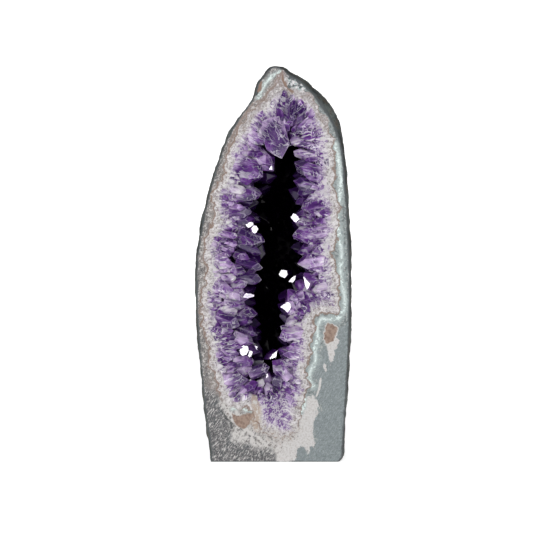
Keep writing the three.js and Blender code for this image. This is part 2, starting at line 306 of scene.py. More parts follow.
def sawnStone():
    # basalt rind, agate and massive quartz: dull and finely sawn in front, rough and dark behind
    material, tree = newMaterial("sawnBasaltAgateAndQuartz")
    node = partial(add, tree)
    look = colours(stoneLook)
    where = node("TexCoord", {}, out="Object")
    grain = {}
    for size in (1.6, 3.5, 8, 20):   # mm
        grain[size] = node("TexNoise", {"Vector": where, "Scale": 1 / (size * mm), "Detail": 4,
                                        "Roughness": 0.68})
    drift = node("Math", [grain[8], 12.0, -6.0], operation="MULTIPLY_ADD")
    lifted = node("Math", [drift, -2.5], operation="ADD")
    wander = node("Math", [grain[3.5], 5.0, lifted], operation="MULTIPLY_ADD")
    # slanting streaks left by the saw, drawn as coarse as they need to show
    slanted = node("Mapping", {"Vector": where, "Rotation": (0, math.radians(-55), 0), "Scale": (3.4, 1, 1)},
                   vector_type="TEXTURE")
    streaks = node("TexNoise", {"Vector": slanted, "Scale": 950, "Detail": 2, "Roughness": 0.6})

    def drawn(name, low, high, ragged=1.0, most=1.0):
        # 0 to most as the distance to a drawn shape goes from low to high mm, with a wandering edge
        away = node("Attribute", {}, out="Fac", attribute_name=name)
        away = node("Math", [wander, ragged, away], operation="MULTIPLY_ADD")
        return node("MapRange", [away, low, high, 0.0, most])

    def speckle(size, low, high, most=1.0):
        # spots of about size mm
        return node("MapRange", [grain[size], low, high, 0.0, most])

    streaked = node("MapRange", [streaks, 0.5, 0.64])
    clay = paint(tree, look.clay, [(speckle(1.6, 0.48, 0.62), look.clayDark)])
    brownClay = paint(tree, look.brownClay, [(speckle(3.5, 0.45, 0.6), look.brown)])
    basalt = paint(tree, look.basalt, [
        ((streaks, 0.44, 0.66, 0.0, 0.7), look.basaltPale),
        (speckle(1.6, 0.5, 0.66, 0.8), look.basaltDark)])
    darkStone = paint(tree, look.darkStone, [
        (speckle(3.5, 0.42, 0.6), look.bandDark),
        (speckle(1.6, 0.52, 0.62, 0.5), look.bandPale),
        (within(tree, streaked, speckle(8, 0.38, 0.48)), look.bandPale),
        (speckle(8, 0.52, 0.6, 0.6), look.rind)])

    # the agate band: mottled grey and beige with thin layers along the brown line
    inAgate = node("Attribute", {}, out="Fac", attribute_name="inAgate")
    ring = node("Attribute", {}, out="Vector", attribute_name="ring")
    alongLine = node("SeparateXYZ", [ring])
    scallop = node("TexVoronoi", {"W": alongLine, "Scale": 0.8}, voronoi_dimensions="1D")
    fromLine = node("Math", [inAgate, drift], operation="ADD")
    fromLine = node("Math", [scallop, 4.5, fromLine], operation="MULTIPLY_ADD")
    waves = node("Math", [node("Math", [fromLine, 3.3], operation="MULTIPLY")], operation="SINE")
    layered = within(tree, (waves, 0.1, 0.8), (fromLine, -9.0, -1.0, 0.1, 0.55))
    toLine = node("Math", [fromLine], operation="ABSOLUTE")
    colour = paint(tree, look.band, [
        (speckle(3.5, 0.51, 0.57), look.bandPale),
        (speckle(8, 0.5, 0.57, 0.8), look.bandDark),
        (speckle(1.6, 0.52, 0.57, 0.8), look.bandDark),
        (speckle(20, 0.5, 0.6, 0.3), look.bandBrown),
        (layered, look.bandPale),
        ((toLine, 4.0, 1.5, 0.0, 0.35), look.bandBrown)])

    # right of the middle the band is grey-green, with mint chalcedony in patches and thin white ridges
    greenBand = paint(tree, look.greenGrey, [
        (speckle(3.5, 0.46, 0.6), look.basaltDark), (speckle(1.6, 0.52, 0.62, 0.6), look.bandPale)])
    patches = speckle(8, 0.47, 0.56, 0.9)
    ridges = speckle(3.5, 0.45, 0.53)
    colour = paint(tree, colour, [
        (drawn("rightBand", -4.0, 4.0), greenBand),
        (within(tree, streaked, drawn("lowerBand", -4.0, 4.0)), look.bandPale),
        (within(tree, speckle(3.5, 0.4, 0.53), drawn("lowerBand", -3.0, 4.0)), look.bandPale),
        (drawn("darkBasalt", -2.5, 2.5), darkStone),
        (drawn("clay", -0.4, 0.4, 1.5), clay),
        (drawn("basalt", -0.4, 0.4), basalt),
        (drawn("topBasalt", -0.6, 0.6), basalt),
        (drawn("brownHeart", -0.4, 0.4, 0.4), brownClay),
        (drawn("pinkWedge", -0.4, 0.4, 0.8), clay),
        (drawn("clayIslet", -0.4, 0.4, 0.5), clay),
        (drawn("clayVein", 1.1, 0.5, 0.3), clay),
        (drawn("brownWedge", -1.5, -0.6, 0.7), look.bandPale),
        (drawn("brownWedge", -0.4, 0.4, 0.5), brownClay)])
    for name, width in (("mintBand", 2.9), ("mintCap", 2.0), ("mintShelf", 1.3), ("mintSliver", 1.2)):
        colour = paint(tree, colour, [
            (drawn(name, width + 2.0, width - 1.0, 0.7, 0.7), look.mint),
            (within(tree, drawn(name, width, 0.6, 0.6), patches), look.mintPale),
            (within(tree, drawn(name, 1.3, 0.5, 1.1), ridges), look.mintPale)])

    # quartz inside the brown line: pale grains, then lilac, then purple, in columns that point inwards
    warp = node("TexNoise", {"Vector": where, "Scale": 110, "Detail": 3}, out=1)
    warped = node("VectorMath", [warp, (1.1, 1.1, 0), ring], operation="MULTIPLY_ADD")
    column = node("TexVoronoi", {"Vector": warped, "Scale": 1.0}, feature="SMOOTH_F1")
    inwards = node("Math", [wander, 0.9, inAgate], operation="MULTIPLY_ADD")
    # the middle of each column is darker than its edges
    inwards = node("Math", [column, -9.0, inwards], operation="MULTIPLY_ADD")
    wisps = node("TexNoise", {"Vector": where, "Scale": 170, "Detail": 4, "Roughness": 0.65})
    wisps = node("Math", [wisps, 0.5], operation="SUBTRACT")
    wisps = node("Math", [wisps], operation="ABSOLUTE")
    # needles that point in from the agate
    spread = node("VectorMath", [warped, (3.0, 1.3, 0)], operation="MULTIPLY")
    needles = node("TexNoise", {"Vector": spread, "Scale": 1.0, "Detail": 3, "Roughness": 0.65})
    palest = paint(tree, look.quartz, [
        (speckle(1.6, 0.47, 0.56), look.quartzGrey), (speckle(8, 0.5, 0.6, 0.5), look.bandBrown),
        (speckle(3.5, 0.54, 0.6, 0.8), look.quartzWhite)])
    quartz = paint(tree, palest, [
        ((inwards, 0.0, 5.0), look.lilac),
        ((inwards, 3.5, 9.0), look.purple),
        ((inwards, 9.0, 16.0, 0.0, 0.4), look.deep),
        (within(tree, (needles, 0.5, 0.4, 0.0, 0.8), (inwards, -2.0, 3.0)), look.purple),
        ((wisps, 0.05, 0.0, 0.0, 0.8), look.veil),
        ((needles, 0.52, 0.62, 0.0, 0.75), look.veil)])
    brownLine = within(tree, (toLine, 1.2, 0.4, 0.0, 0.85),
                       drawn("lowerBand", 2.0, -4.0), drawn("topBasalt", 0.0, -5.0))
    insideLine = node("MapRange", [fromLine, -0.6, 0.6])
    colour = paint(tree, colour, [
        (insideLine, quartz),
        (within(tree, drawn("rubble", -3.0, 2.0), speckle(3.5, 0.46, 0.54)), look.bandPale),
        (within(tree, drawn("rubble", -3.0, 2.0), speckle(3.5, 0.54, 0.6, 0.7)), look.brown),
        (drawn("stain", -1.5, 1.0, 0.8, 0.9), look.stain),
        (within(tree, drawn("stain", -1.5, 1.0), speckle(3.5, 0.52, 0.6)), look.bandPale),
        (brownLine, look.brown),
        (within(tree, drawn("apexQuartz", -3.0, 1.5), insideLine), palest),
        (drawn("innerBrown", 1.3, 0.5, 0.3), look.brown),
        (drawn("outerBrown", 1.2, 0.4, 0.3, 0.8), look.bandBrown),
        (drawn("apexGeode", -1.0, 0.6), look.mint),
        (within(tree, drawn("apexGeode", -1.0, 0.6), speckle(3.5, 0.46, 0.54)), look.quartzWhite),
        (within(tree, drawn("apexGeode", -2.5, -0.5), speckle(8, 0.5, 0.54)), look.rind),
        (drawn("notch", -0.6, 0.6, 0.3), look.rindDark),
        (drawn("notchBrown", -0.6, 0.6, 0.3), look.brown),
        (drawn("crack", 1.2, 0.4, 0.3, 0.8), look.rindDark),
        (drawn("fromRim", 1.3, 0.2, 0.4), look.rind)])

    # the natural outside, dark with paler mottling and some iron, and the wall of the cavity, painted violet
    # near the mouth and near black deeper in as painted shade
    depth = node("SeparateXYZ", [where], out=1)
    back = paint(tree, look.backDark, [
        (speckle(20, 0.4, 0.64, 0.8), look.backPale),
        (speckle(8, 0.48, 0.7, 0.6), look.iron),
        (speckle(3.5, 0.52, 0.66, 0.6), look.bandDark),
        (speckle(1.6, 0.5, 0.66, 0.8), look.rindDark)])
    inner = node("Attribute", {}, out="Fac", attribute_name="cavityWall")
    # painted shade: the cavity wall goes from violet to near black between 12 and 28 mm behind the cut
    cavityShade = paint(tree, look.purple, [(behindCut(tree, depth, 12, 28), look.wall)])
    hidden = paint(tree, back, [((inner, 0.4, 0.6), cavityShade)])
    justBehind = within(tree, behindCut(tree, depth, 1.0, 2.2), (inAgate, 2.0, 1.0))
    colour = paint(tree, colour, [(justBehind, hidden), (behindCut(tree, depth, 8, 11), hidden)])

    height = node("Math", [grain[1.6], 0.5, grain[3.5]], operation="MULTIPLY_ADD")
    relief = node("Bump", {"Height": height, "Strength": 0.4, "Distance": 0.6 * mm})
    rough = node("MapRange", [fromLine, -1.0, 1.0, 0.75, 0.5])
    shader = node("BsdfPrincipled", {"Base Color": colour, "Roughness": rough, "Normal": relief,
                                     "IOR": 1.54, "Specular IOR Level": 0.05})
    node("OutputMaterial", {"Surface": shader})
    return material


amethystLook = {
    # black, and deep far behind the cut, are painted shade for the crystals inside the cavity
    "pale": "#d0cbd0", "lilac": "#c2aad0", "purple": "#6c3e8b", "deep": "#2d0f4b", "black": "#030106",
    # rim is a painted highlight along the crystals' edges
    "rim": "#cfc1db", "veil": "#f2edf5",
}


def amethyst(name, veils, shadeDepths, shine):
    # quartz coloured violet towards its tips: glassy, with milky veils inside, a painted highlight along the
    # edges of its faces and painted shade towards their middles; between the two depths given after veils, in
    # mm behind the cut, it is painted black as shade deep in the cavity
    material, tree = newMaterial(name)
    node = partial(add, tree)
    look = colours(amethystLook)
    where = node("TexCoord", {}, out="Object")
    grown, edge, tint, facet, zone = [node("Attribute", {}, out="Fac", attribute_name=name)
                                      for name in ("growth", "core", "tint", "facet", "zone")]
    # every crystal has its own part of the pattern
    shift = node("CombineXYZ", [tint, tint, tint])
    place = node("VectorMath", [where, shift], operation="ADD")
    clouds = node("TexNoise", {"Vector": place, "Scale": 90, "Detail": 2, "Roughness": 0.5})   # 11 mm
    flecks = node("TexNoise", {"Vector": place, "Scale": 430, "Detail": 3, "Roughness": 0.6})
    wisps = node("TexNoise", {"Vector": place, "Scale": 150, "Detail": 2, "Roughness": 0.5})
    wisps = node("Math", [node("Math", [wisps, 0.5], operation="SUBTRACT")], operation="ABSOLUTE")

    def pushed(start, pushes):
        # start moved up or down by values that run from 0 to 1
        for value, amount in pushes:
            centred = node("Math", [value, 0.5], operation="SUBTRACT")
            start = node("Math", [centred, amount, start], operation="MULTIPLY_ADD")
        return start

    # the same needles as in the stone, weaker towards the opening
    ring = node("Attribute", {}, out="Vector", attribute_name="ring")
    inside = node("Math", [node("SeparateXYZ", [ring], out=1), ringUnits[1]], operation="MULTIPLY")
    spread = node("VectorMath", [ring, (3.4, 1.3, 0), shift], operation="MULTIPLY_ADD")
    needles = node("TexNoise", {"Vector": spread, "Scale": 1.0, "Detail": 3, "Roughness": 0.6})
    near = node("MapRange", [inside, 6.0, 26.0, 1.0, 0.3])
    beyond = node("MapRange", [zone, 1.0, 2.0, 0.5, 1.5])
    growth = pushed(grown, [(clouds, 1.3), (needles, 1.4), (tint, 0.4), (facet, 0.6), (beyond, 1.1)])
    core = pushed(edge, [(clouds, 1.4), (facet, 0.6), (tint, 0.4), (beyond, 0.5)])
    young = pushed(zone, [(clouds, 1.0), (needles, -1.8), (tint, 0.3)])
    dark = pushed(zone, [(clouds, 1.6), (needles, 1.3), (facet, 0.3)])
    depth = node("SeparateXYZ", [where], out=1)
    # painted shade: from 6 to 20 mm behind the cut the crystals are pushed towards deep violet, and from 6 to
    # 17 mm their milky veils fade
    growth = node("Math", [behindCut(tree, depth, 6, 20, 0.0, 0.6), growth], operation="ADD")
    milky = within(tree, behindCut(tree, depth, 6, 17, veils, 0.15 * veils), (dark, 1.0, 1.6, 1.0, 0.35))
    # painted highlight: pale along the edges of each face
    edgeHighlight = within(tree, (edge, 0.09, 0.0), (clouds, 0.42, 0.56, 0.0, 0.35))
    veil = within(tree, (wisps, 0.035, 0.0, 0.0, milky), (clouds, 0.5, 0.6))
    colour = paint(tree, look.lilac, [
        ((growth, 0.3, 0.7), look.purple),
        ((growth, 0.85, 1.4, 0.0, 0.75), look.deep),
        # painted shade: each face darker towards its middle
        ((core, 0.25, 1.0, 0.0, 0.8), look.deep),
        ((dark, 0.95, 1.5, 0.0, 0.85), look.deep),
        (edgeHighlight, look.rim),
        (veil, look.veil),
        (within(tree, (needles, 0.53, 0.6, 0.0, milky), near), look.veil),
        (within(tree, (needles, 0.45, 0.34, 0.0, 0.7), near), look.deep),
        ((young, 0.75, 0.2, 0.0, milky), look.pale),
        # painted shade: from 11 to 22 mm behind the cut the crystals are painted deep violet, then black
        # between the two shade depths
        (behindCut(tree, depth, 11, 22, 0.0, 0.85), look.deep),
        (behindCut(tree, depth, *shadeDepths), look.black)])
    relief = node("Bump", {"Height": clouds, "Strength": 0.1, "Distance": 0.5 * mm})
    rough = node("MapRange", [flecks, 0.4, 0.7, 0.05, 0.14])
    shader = node("BsdfPrincipled", {"Base Color": colour, "Roughness": rough, "Normal": relief,
                                     "IOR": 1.544, "Specular IOR Level": shine, "Subsurface Weight": 0.35,
                                     "Subsurface Radius": (1.0, 0.6, 1.3), "Subsurface Scale": 3 * mm})
    node("OutputMaterial", {"Surface": shader})
    return material


stone = {
    # millimetres, except where it says otherwise
    "voxel": 2.2,  # size of the mesh on the outside
    "pressed": 1.2,  # points this near the cut are moved onto it
    "based": 1.0,  # and points this near the base onto the base
    "fine": 2.5,  # this near the cut the mesh is twice as fine
    "backLumps": 3.2,  # height of the roughness behind
    "lumpSize": 16.0,
    "lumpsFrom": (0.5, 8),  # behind the cut, where the roughness starts and is full
    "recess": 5.5,  # how far the broken quartz at the mouth lies behind the cut
    "recessStart": 4.0,  # inside the agate, where it starts to fall away
    "recessWidth": 10.0,
    "recessLow": 48,  # above the base, where it starts
    "recessRise": 22,
    "recessReach": 14,  # what lies this far behind the cut stays where it is
    "greenFrom": 24,  # right of the middle, where the agate turns grey-green
    "mouth": (2, -50, 185),  # x, behind the cut, z of the place that all of the cavity's wall faces
}


def recessAt(inside, height):
    # mm behind the cut for a place that lies so many mm inside the agate and above the base
    t = np.clip((inside - stone["recessStart"]) / stone["recessWidth"], 0, 1)
    rise = np.clip((height - stone["recessLow"]) / stone["recessRise"], 0, 1)
    return stone["recess"] * t * t * (3 - 2 * t) * rise


def frontRim():
    # the outer edge of the sawn front, in mm, read from the CAD solid
    bm = solidOf("rock_shell")
    flat = {f for f in bm.faces if all(abs(v.co.y - sawnY) < weld for v in f.verts)}
    edges = [e for e in bm.edges if len([f for f in e.link_faces if f in flat]) == 1]
    left = set(edges)
    loops = []
    for edge in edges:
        if edge not in left:
            continue
        left.discard(edge)
        start, here = edge.verts
        path = [start, here]
        while here != start:
            onward = next(e for e in here.link_edges if e in left)
            left.discard(onward)
            here = onward.other_vert(here)
            path.append(here)
        loops.append(np.array([(v.co.x / mm, v.co.z / mm) for v in path[:-1]]))
    bm.free()
    return max(loops, key=lambda loop: np.ptp(loop[:, 1]))


def facesCavity(centre, normal):
    # whether a face of the stone looks into the cavity
    x, behind, z = stone["mouth"]
    toMouth = Vector((x * mm, sawnY + behind * mm, z * mm)) - centre
    return centre.y > sawnY + 0.05 * mm and toMouth.dot(normal) > 0


def makeStone():
    # the CAD solid remeshed, with a lumpy back, a recess at the mouth and the drawing as attributes
    temp = bpy.data.objects.new("stoneRough", meshOf(solidOf("rock_shell"), "stoneRough"))
    bpy.context.collection.objects.link(temp)
    remesh = temp.modifiers.new("Remesh", "REMESH")
    remesh.mode = "VOXEL"
    remesh.voxel_size = stone["voxel"] * mm
    mesh = bpy.data.meshes.new_from_object(temp.evaluated_get(bpy.context.evaluated_depsgraph_get()))
    bpy.data.objects.remove(temp)

    bm = bmesh.new()
    bm.from_mesh(mesh)
    for v in bm.verts:
        if v.co.y < sawnY + stone["pressed"] * mm:
            v.co.y = sawnY
        if v.co.z < stone["based"] * mm:
            v.co.z = 0
    front = [e for e in bm.edges if all(v.co.y < sawnY + stone["fine"] * mm for v in e.verts)]
    bmesh.ops.subdivide_edges(bm, edges=front, cuts=1, use_grid_fill=True)
    bmesh.ops.triangulate(bm, faces=[f for f in bm.faces if len(f.verts) > 4])
    bm.normal_update()
    co = np.array([v.co for v in bm.verts]) / mm
    flatPoints = co[:, [0, 2]]
    wall = np.array([facesCavity(v.co, v.normal) for v in bm.verts])
    inside = depthInside(flatPoints, smoothLoop(drawing["agateLine"]))[0]
    pushed = recessAt(inside, flatPoints[:, 1])
    start, full = stone["lumpsFrom"]
    reach = stone["recessReach"]
    for i, v in enumerate(bm.verts):
        behind = (v.co.y - sawnY) / mm
        lump = noise.fractal(v.co / (stone["lumpSize"] * mm), 0.9, 2.1, 4)
        if behind > start and v.co.z > start * mm and not wall[i]:
            share = min(1.0, behind / full)
            v.co -= v.normal * (0.5 * lump - 0.1) * stone["backLumps"] * share * mm
        if inside[i] > 0 and behind < reach:
            v.co.y += pushed[i] * (1 + 0.3 * lump) * (1 - behind / reach) * mm
    bm.to_mesh(mesh)
    bm.free()

    for name in drawing:
        setAttribute(mesh, name, depthInside(flatPoints, smoothLoop(drawing[name]))[0])
    for name in lines:
        curve = smoothLoop(lines[name], closed=False)
        setAttribute(mesh, name, distanceTo(flatPoints, curve, closed=False)[0])
    mesh.attributes["agateLine"].name = "inAgate"
    setRing(mesh)
    setAttribute(mesh, "fromRim", depthInside(flatPoints, frontRim())[0])
    setAttribute(mesh, "rightBand", flatPoints[:, 0] - stone["greenFrom"])
    setAttribute(mesh, "cavityWall", wall)
    obj = addObject("stone", mesh, sawnStone())
    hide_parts("rock_shell")
    print("stone:", len(mesh.polygons), "faces")


crystal = {
    "capTilt": math.radians(51.8),  # quartz's rhombohedral faces against its long axis
    "capSpread": 0.6,  # how unequal the six cap faces are, as a share of the radius
    "shapes": 7,  # different crystals per length
    "taper": 0.88,  # width at the shoulder against the width at the root
    "flatness": (0.6, 1.15),  # width one way against the width the other way
    "lengths": (1.7, 2.4, 3.4),  # length of a small crystal against its radius
    "bevel": 0.07,  # worn edges of the leading crystals against their radius
    "flat": math.radians(2),  # faces that meet at less than this are one
    "glint": math.radians(10),  # a face this near to mirroring a soft box shines white
    "turns": 12,  # how often a crystal is turned to avoid that
}


def markCrystal(bm, chosen, growthOf, rng, heart=1.0):
    # the values that the shader reads. growth runs from 0 at the root to 1 at the tip, and facet is one
    # number per face. tint, one number per crystal, and zone, how violet it is, are filled in later.
    # core is 0 at the edges of the chosen faces and heart at a point added to the middle of each.
    facet = bm.faces.layers.float.new("facet")
    for f in bm.faces:
        f[facet] = rng.random()
    faces = [f for f in bm.faces if chosen(f)]
    growth = bm.verts.layers.float.new("growth")
    core = bm.verts.layers.float.new("core")
    for name in ("tint", "zone"):
        bm.verts.layers.float.new(name)
    middles = bmesh.ops.poke(bm, faces=faces, center_mode="MEAN_WEIGHTED")["verts"]
    for v in bm.verts:
        v[growth] = growthOf(v.co)
    for v in middles:
        v[core] = heart


def wearEdges(bm, width):
    bmesh.ops.bevel(bm, geom=bm.edges[:], affect="EDGES", offset=width, segments=1, profile=0.5, material=-1,
                    clamp_overlap=True)


def sawOff(bm, place, outwards, dist):
    # takes away what lies beyond a plane; gives back the edges round the hole
    cut = bmesh.ops.bisect_plane(bm, geom=bm.verts[:] + bm.edges[:] + bm.faces[:], dist=dist,
                                 plane_co=place, plane_no=outwards, clear_outer=True)
    return [e for e in cut["geom_cut"] if isinstance(e, bmesh.types.BMEdge)]


def addCrystal(joined, mesh, tint, zone):
    # joins one marked crystal to the others; its own mesh goes
    for name, value in (("tint", tint), ("zone", zone)):
        mesh.attributes[name].data.foreach_set("value", [value] * len(mesh.vertices))
    joined.from_mesh(mesh)
    bpy.data.meshes.remove(mesh)


def addCrystals(name, joined, material):
    # all the crystals of one piece as an object
    mesh = meshOf(joined, name)
    setRing(mesh)
    return addObject(name, mesh, material)


def smallCrystal(length, rng, bevel):
    # one crystal of radius 1 along +Z from z = 0, root down
    bm = bmesh.new()
    # a tall prism, cut back to its length by the six cap faces
    bmesh.ops.create_cone(bm, cap_ends=True, segments=6, radius1=1, radius2=crystal["taper"],
                          depth=length + 1)
    bmesh.ops.translate(bm, verts=bm.verts, vec=(0, 0, (length + 1) / 2))
    bmesh.ops.scale(bm, verts=bm.verts, vec=(rng.uniform(*crystal["flatness"]), 1, 1))
    sideways, upwards = math.sin(crystal["capTilt"]), math.cos(crystal["capTilt"])
    for i in range(6):
        angle = math.radians(60 * i + 30)
        outwards = Vector((math.cos(angle) * sideways, math.sin(angle) * sideways, upwards))
        stand = rng.uniform(0, crystal["capSpread"]) * (1 if i % 2 else 0.3)
        rim = sawOff(bm, Vector((0, 0, length)) + outwards * stand, outwards, 1e-5)
        bmesh.ops.edgeloop_fill(bm, edges=rim)
    bmesh.ops.remove_doubles(bm, verts=bm.verts, dist=1e-3)
    bmesh.ops.recalc_face_normals(bm, faces=bm.faces)
    if bevel:
        bmesh.ops.dissolve_limit(bm, angle_limit=crystal["flat"], verts=bm.verts, edges=bm.edges)
        wearEdges(bm, bevel)
    markCrystal(bm, lambda f: f.normal.z > -0.9 and f.calc_area() > 0.1,
                lambda co: 0.2 + 0.8 * co.z / length, rng, 0.7)
    return meshOf(bm, "smallCrystal")


def crystalSet(seed, bevel=0):
    rng = random.Random(seed)
    return {length: [smallCrystal(length, rng, bevel) for i in range(crystal["shapes"])]
            for length in crystal["lengths"]}


def eyePlace():
    # where the camera stands, in mm
    return Vector((studio["cameraX"], sawnY / mm - studio["cameraDistance"], studio["cameraZ"]))


def mirrorsBox(mesh, spot):
    # whether some face of a crystal throws a soft box straight at the camera
    normals = np.empty(3 * len(mesh.polygons), np.float32)
    mesh.polygons.foreach_get("normal", normals)
    normals = normals.reshape(-1, 3)
    view = np.array((eyePlace() - spot).normalized())
    seen = 2 * (normals @ view)[:, None] * normals - view
    boxes = np.array([(Vector(place) - spot).normalized() for place, size, watts in studio["softBoxes"]])
    return bool((seen @ boxes.T > math.cos(crystal["glint"])).any())


def plant(name, shapes, places, material, rng, sawn=False):
    # joins one copy of a shape for each (root, tip, radius, zone), in mm; zone is 0 for colourless quartz,
    # 1 for violet and more for darker crystals. sawn takes off what stands in front of the cut, and turns
    # crystals that would shine white.
    bm = bmesh.new()
    for root, tip, radius, zone in places:
        axis = tip - root
        wanted = axis.length / radius
        length = min(crystal["lengths"], key=lambda l: abs(l - wanted))
        along = axis.to_track_quat("Z", "Y").to_matrix().to_4x4()
        size = Matrix.Diagonal((radius, radius, axis.length / length, 1))
        for attempt in range(crystal["turns"]):
            copy = rng.choice(shapes[length]).copy()
            turn = Matrix.Rotation(rng.uniform(0, 6.283), 4, "Z")
            copy.transform(Matrix.Scale(mm, 4) @ Matrix.Translation(root) @ along @ turn @ size)
            if attempt == crystal["turns"] - 1 or not (sawn and mirrorsBox(copy, tip)):
                break
            bpy.data.meshes.remove(copy)
        addCrystal(bm, copy, rng.random(), zone)
    if sawn:
        rim = sawOff(bm, (0, sawnY + 0.05 * mm, 0), (0, -1, 0), 1e-7)
        bmesh.ops.holes_fill(bm, edges=rim, sides=0)
    obj = addCrystals(name, bm, material)
    print(name + ":", len(places), "crystals,", len(obj.data.polygons), "faces")


large = {
    "bevel": 0.45,  # mm, worn edges
    "length": 34.0,  # mm from root to tip over which the colour deepens
    "smallestFace": 4,  # mm2, smaller ones keep one colour
    "leastViolet": 0.8,
    "aimX": 3,  # mm, they point to the line at this x
    "aimZ": (0.1, 0.265),  # metres, the ends of that line
}


def makeLarge(name, nodes, material):
    # the CAD crystals, with softened edges and colour along their length
    rng = random.Random(name)
    joined = bmesh.new()
    for nodeName in nodes:
        bm = solidOf(nodeName)
        bmesh.ops.dissolve_limit(bm, angle_limit=crystal["flat"], verts=bm.verts, edges=bm.edges)
        points = np.array([v.co for v in bm.verts])
        middle = points.mean(0)
        axis = np.linalg.svd(points - middle)[2][0]
        centre = np.array((large["aimX"] * mm, sawnY, np.clip(middle[2], *large["aimZ"])))
        if np.dot(axis, centre - middle) < 0:
            axis = -axis
        reach = (points @ axis).max()
        wearEdges(bm, large["bevel"] * mm)
        markCrystal(bm, lambda f: f.calc_area() > large["smallestFace"] * mm * mm,
                    lambda co: 1 - (reach - float(np.dot(co, axis))) / (large["length"] * mm), rng)
        violet = max(large["leastViolet"], violetAt(middle[0] / mm, middle[2] / mm))
        addCrystal(joined, meshOf(bm, nodeName + "_look"), rng.random(), violet)
    obj = addCrystals(name, joined, material)
    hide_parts(*nodes)
    print(name + ":", len(nodes), "crystals")


violets = {
    "paler": 0.5,  # how much the milky places take away from the violet
    "darker": 0.7,  # and how much the dark places add
    # x, z, radius in mm of the places where the crystals are whitish with inclusions
    "milky": [
        (-34, 250, 10), (-40, 222, 9), (-30, 212, 6), (30, 288, 15), (42, 246, 15), (36, 224, 12),
        (40, 152, 20), (-42, 172, 12), (-42, 146, 13), (22, 122, 14), (14, 80, 13), (44, 200, 12),
        (-34, 84, 12), (-28, 278, 11), (-10, 66, 14)],
    # and where they are darkest
    "dark": [
        (14, 318, 13), (-5, 314, 9), (3, 290, 8), (-16, 268, 8), (-20, 235, 12), (-28, 226, 8),
        (-38, 204, 8), (-16, 184, 10), (-42, 125, 7), (31, 264, 8), (31, 250, 7), (32, 178, 7),
        (4, 72, 5)],
}


def violetAt(x, z):
    # 1 for violet crystals, less in the milky places and more in the dark ones
    def cover(spots):
        return max(math.exp(-((x - a) ** 2 + (z - b) ** 2) / r ** 2) for a, b, r in spots)
    return 1 - violets["paler"] * cover(violets["milky"]) + violets["darker"] * cover(violets["dark"])


leading = [
    # the finest crystals in the broken quartz round the opening, in millimetres:
    # root x z, tip x z, radius, how far behind the cut, and 1 for violet, less for milky, more for dark
    (-3, 312, 6.8, 280, 12, 2, 1.1), (-36, 273, -11, 262, 13.5, 3, 1.1), (-18, 282, -2, 271, 7.5, 5, 0.9),
    (41, 287, 16, 294, 8, 4, 0.55), (38, 277, 19, 284, 6, 5, 0.6), (44, 263, 20, 272, 9, 4, 1.2),
    (42, 251, 21, 256, 7, 6, 1.3), (50, 211, 18, 206, 9.5, 3, 0.65), (-40, 250, -25, 247, 5, 3, 0.4),
    (-34, 243, -11, 246, 7, 7, 1.2), (-32, 211, -9, 201, 6, 10, 1.6), (-34, 184, -10, 177, 5.5, 10, 1.4),
    (46, 185, 24, 181, 8, 3, 0.85), (50, 160, 36, 156, 6, 3, 0.6), (32, 153, 13, 144, 8, 7, 0.8),
    (28, 119, 6, 114, 7.5, 3, 0.9), (14, 76, -1, 92, 9, 2, 0.95), (-34, 168, -11, 166, 6, 10, 1.5),
    (-36, 202, -11, 190, 5.5, 11, 1.5), (-52, 133, -31, 124, 8, 2, 1.3), (-42, 133, -20, 127, 6.5, 7, 1.2),
    (-37, 115, -19, 108, 7, 6, 1.1), (-46, 75, -24, 75, 9, 2, 1.15), (-55, 160, -37, 157, 7, 2, 0.9),
    (3, 329, 8, 311, 3.6, 3, 1.5), (13, 332, 13, 310, 3.8, 3, 1.6), (21, 330, 17, 309, 3.6, 3, 1.5),
    (29, 325, 22, 308, 4, 3, 1.3), (34, 312, 21, 300, 6.5, 3, 0.8),
    (-24, 302, -10, 290, 7, 3, 0.9), (-42, 228, -20, 228, 7, 6, 1.4), (-52, 210, -34, 206, 6, 2, 1.0),
    (48, 236, 26, 232, 7, 5, 0.75), (-48, 103, -32, 98, 6, 3, 1.0), (-36, 90, -18, 92, 6, 5, 1.1),
    (28, 97, 8, 98, 7, 3, 0.9), (-53, 186, -38, 182, 6, 2, 0.9), (-45, 146, -26, 142, 6, 4, 1.1),
    (-22, 79, -4, 86, 6, 6, 1.2)]


def leadingPlaces():
    # they lie half sunk in the broken quartz, with their tips a little further out
    places = []
    for rootX, rootZ, tipX, tipZ, radius, behind, violet in leading:
        root = Vector((rootX, sawnY / mm + behind + 0.75 * radius, rootZ))
        tip = Vector((tipX, sawnY / mm + behind + 0.35 * radius, tipZ))
        places.append((root, tip, radius, violet))
    return places


field = {
    "candidates": 20000,  # places tried
    "across": (-66, 62),  # mm, the x and z between which they are tried
    "up": (24, 352),
    "start": 3.0,  # mm inside the agate line where the first crystals stand
    "spacing": (3.2, 12.0),  # mm between neighbours, at the agate and at the opening
    "uneven": (0.75, 1.25),  # how much the spacing varies
    "radius": (0.55, 0.95),  # radius against the spacing
    "length": (1.9, 3.2),  # length against the radius
    "depth": 25.0,  # mm behind the broken quartz at the opening
    "lean": (0.0, 0.75),  # how much they turn to the front, radians
    "stray": 0.25,  # how far they turn to the side
    "palest": 0.1,  # how violet the first ones are
    "violetOver": 8,  # mm over which they turn violet
    "lowest": 58,  # mm, below this the saw met solid quartz
    "onLarge": 0.05,  # share of small crystals that stand on a large one
    "cover": 2,  # mm, a small crystal less than this in front of a large one is left out
    "free": 0.85,  # share of a leading crystal's radius that stays free of small ones
    # the edge of the black opening
    "opening": [
        (5, 280), (14, 287), (24, 278), (19, 262), (17, 250), (20, 236), (19, 215), (20, 198), (24, 188),
        (25, 175), (18, 163), (6, 150), (5, 135), (8, 122), (8, 108), (4, 96), (-2, 84), (-10, 88),
        (-12, 105), (-12, 125), (-17, 140), (-16, 158), (-13, 178), (-10, 198), (-11, 216),
        (-14, 232), (-12, 250), (-2, 266)],
}


